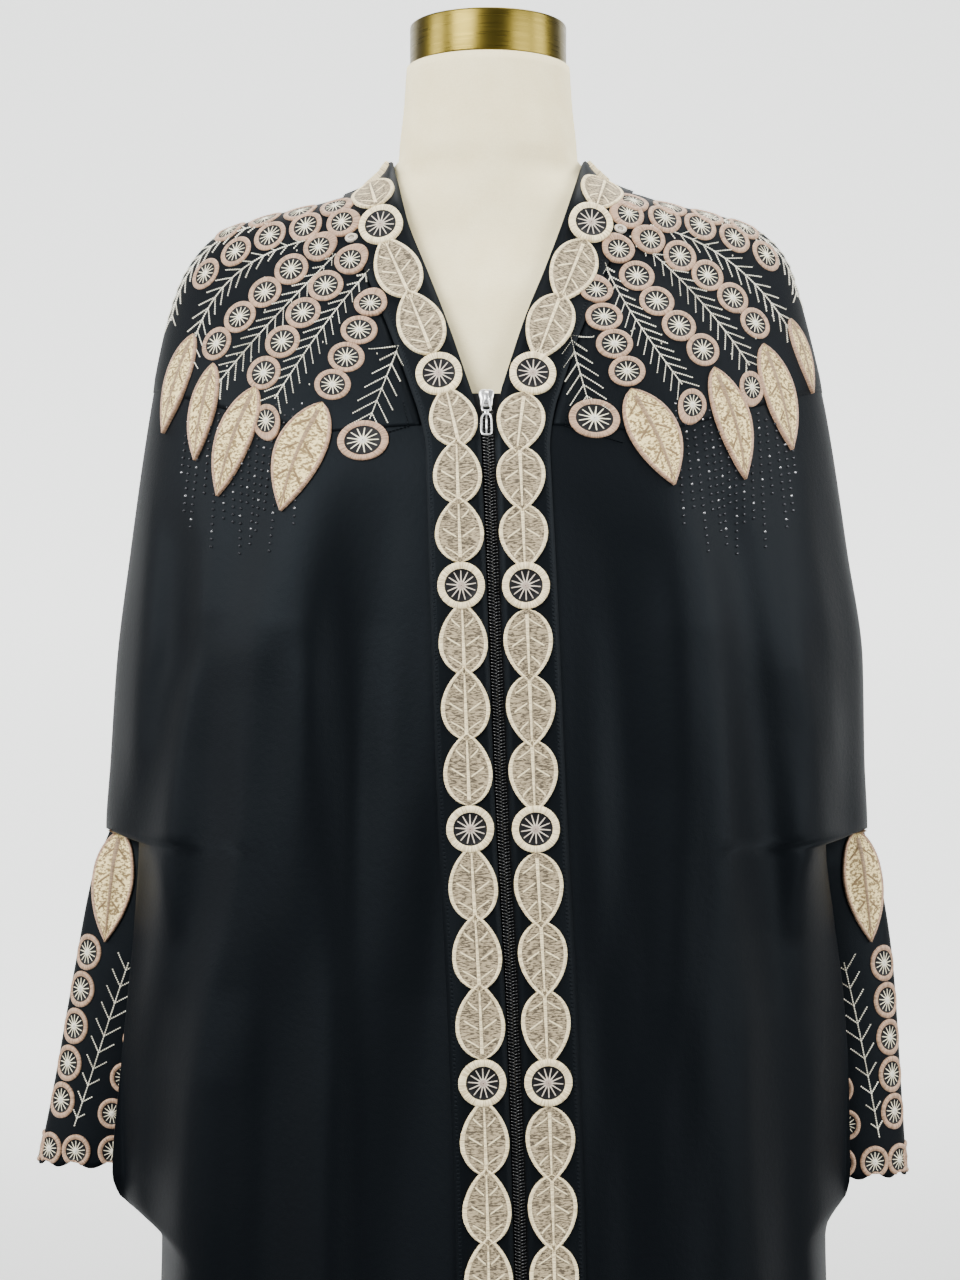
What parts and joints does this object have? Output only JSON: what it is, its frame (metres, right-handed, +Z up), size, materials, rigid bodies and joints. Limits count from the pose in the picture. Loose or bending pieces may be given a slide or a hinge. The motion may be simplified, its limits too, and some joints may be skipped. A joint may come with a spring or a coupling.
{
  "type": "abaya on a dress form",
  "caption": "Full-length black abaya with bat-wing sleeves, embroidered yokes and cuffs, leaf braid and a front zip, on a limbless dress form.",
  "frame": {"origin": "centre of the round base's underside", "axes": "+Z up along the pole, the garment's front faces -Y, and the wearer's left is at +X"},
  "size_m": [0.6596, 0.4054, 1.5503],
  "materials": {
    "back": "black satin-backed crepe with a soft sheen",
    "band_left": "black satin-backed crepe band, seamed and pressed",
    "band_right": "black satin-backed crepe band, seamed and pressed",
    "braid_left": "cream satin-stitched leaf-and-disc braid",
    "braid_neck": "cream satin-stitched leaf braid",
    "braid_right": "cream satin-stitched leaf-and-disc braid",
    "cuff_leaf_back_left": "tan stitched leaf with a satin edge",
    "cuff_leaf_back_right": "tan stitched leaf with a satin edge",
    "cuff_leaf_front_left": "tan stitched leaf with a satin edge",
    "cuff_leaf_front_right": "tan stitched leaf with a satin edge",
    "cuff_left": "black crepe worked with ringed medallions, scalloped end",
    "cuff_right": "black crepe worked with ringed medallions, scalloped end",
    "form_base": "polished gold-coloured metal",
    "form_cap": "polished gold-coloured metal",
    "form_pole": "polished gold-coloured metal",
    "form_torso": "cream linen over a padded shell",
    "front_left": "black satin-backed crepe with a soft sheen",
    "front_right": "black satin-backed crepe with a soft sheen",
    "leaf_back_left_inner": "tan stitched leaf with a satin edge",
    "leaf_back_left_second": "tan stitched leaf with a satin edge",
    "leaf_back_left_sleeve": "tan stitched leaf with a satin edge",
    "leaf_back_left_third": "tan stitched leaf with a satin edge",
    "leaf_back_right_inner": "tan stitched leaf with a satin edge",
    "leaf_back_right_second": "tan stitched leaf with a satin edge",
    "leaf_back_right_sleeve": "tan stitched leaf with a satin edge",
    "leaf_back_right_third": "tan stitched leaf with a satin edge",
    "leaf_front_left_inner": "tan stitched leaf with a satin edge",
    "leaf_front_left_second": "tan stitched leaf with a satin edge",
    "leaf_front_left_sleeve": "tan stitched leaf with a satin edge",
    "leaf_front_left_third": "tan stitched leaf with a satin edge",
    "leaf_front_right_inner": "tan stitched leaf with a satin edge",
    "leaf_front_right_second": "tan stitched leaf with a satin edge",
    "leaf_front_right_sleeve": "tan stitched leaf with a satin edge",
    "leaf_front_right_third": "tan stitched leaf with a satin edge",
    "neck_band": "black satin-backed crepe band, seamed and pressed",
    "yoke_left_back": "black crepe worked with ringed medallions and fern sprigs",
    "yoke_left_front": "black crepe worked with ringed medallions and fern sprigs",
    "yoke_right_back": "black crepe worked with ringed medallions and fern sprigs",
    "yoke_right_front": "black crepe worked with ringed medallions and fern sprigs",
    "zip_coil": "black coil teeth",
    "zip_pull": "bright silver-coloured metal",
    "zip_slider": "bright silver-coloured metal",
    "zip_tape": "black woven tape"
  },
  "bodies": {
    "garment_and_form": {"back": "back", "band_left": "band_left", "band_right": "band_right", "braid_left": "braid_left", "braid_neck": "braid_neck", "braid_right": "braid_right", "cuff_leaf_back_left": "cuff_leaf_back_left", "cuff_leaf_back_right": "cuff_leaf_back_right", "cuff_leaf_front_left": "cuff_leaf_front_left", "cuff_leaf_front_right": "cuff_leaf_front_right", "cuff_left": "cuff_left", "cuff_right": "cuff_right", "form_base": "form_base", "form_cap": "form_cap", "form_pole": "form_pole", "form_torso": "form_torso", "front_left": "front_left", "front_right": "front_right", "leaf_back_left_inner": "leaf_back_left_inner", "leaf_back_left_second": "leaf_back_left_second", "leaf_back_left_sleeve": "leaf_back_left_sleeve", "leaf_back_left_third": "leaf_back_left_third", "leaf_back_right_inner": "leaf_back_right_inner", "leaf_back_right_second": "leaf_back_right_second", "leaf_back_right_sleeve": "leaf_back_right_sleeve", "leaf_back_right_third": "leaf_back_right_third", "leaf_front_left_inner": "leaf_front_left_inner", "leaf_front_left_second": "leaf_front_left_second", "leaf_front_left_sleeve": "leaf_front_left_sleeve", "leaf_front_left_third": "leaf_front_left_third", "leaf_front_right_inner": "leaf_front_right_inner", "leaf_front_right_second": "leaf_front_right_second", "leaf_front_right_sleeve": "leaf_front_right_sleeve", "leaf_front_right_third": "leaf_front_right_third", "neck_band": "neck_band", "yoke_left_back": "yoke_left_back", "yoke_left_front": "yoke_left_front", "yoke_right_back": "yoke_right_back", "yoke_right_front": "yoke_right_front", "zip_coil": "zip_coil", "zip_slider": "zip_slider", "zip_tape": "zip_tape"},
    "pull_tab": {"zip_pull": "zip_pull"}
  },
  "joints": [
    {"name": "pull_hinge", "type": "hinge", "parent": "garment_and_form", "child": "pull_tab", "pos_m": [-0.00167, -0.13445, 1.26347], "axis": [-1, 0, 0], "range_deg": [0, 140]}
  ]
}
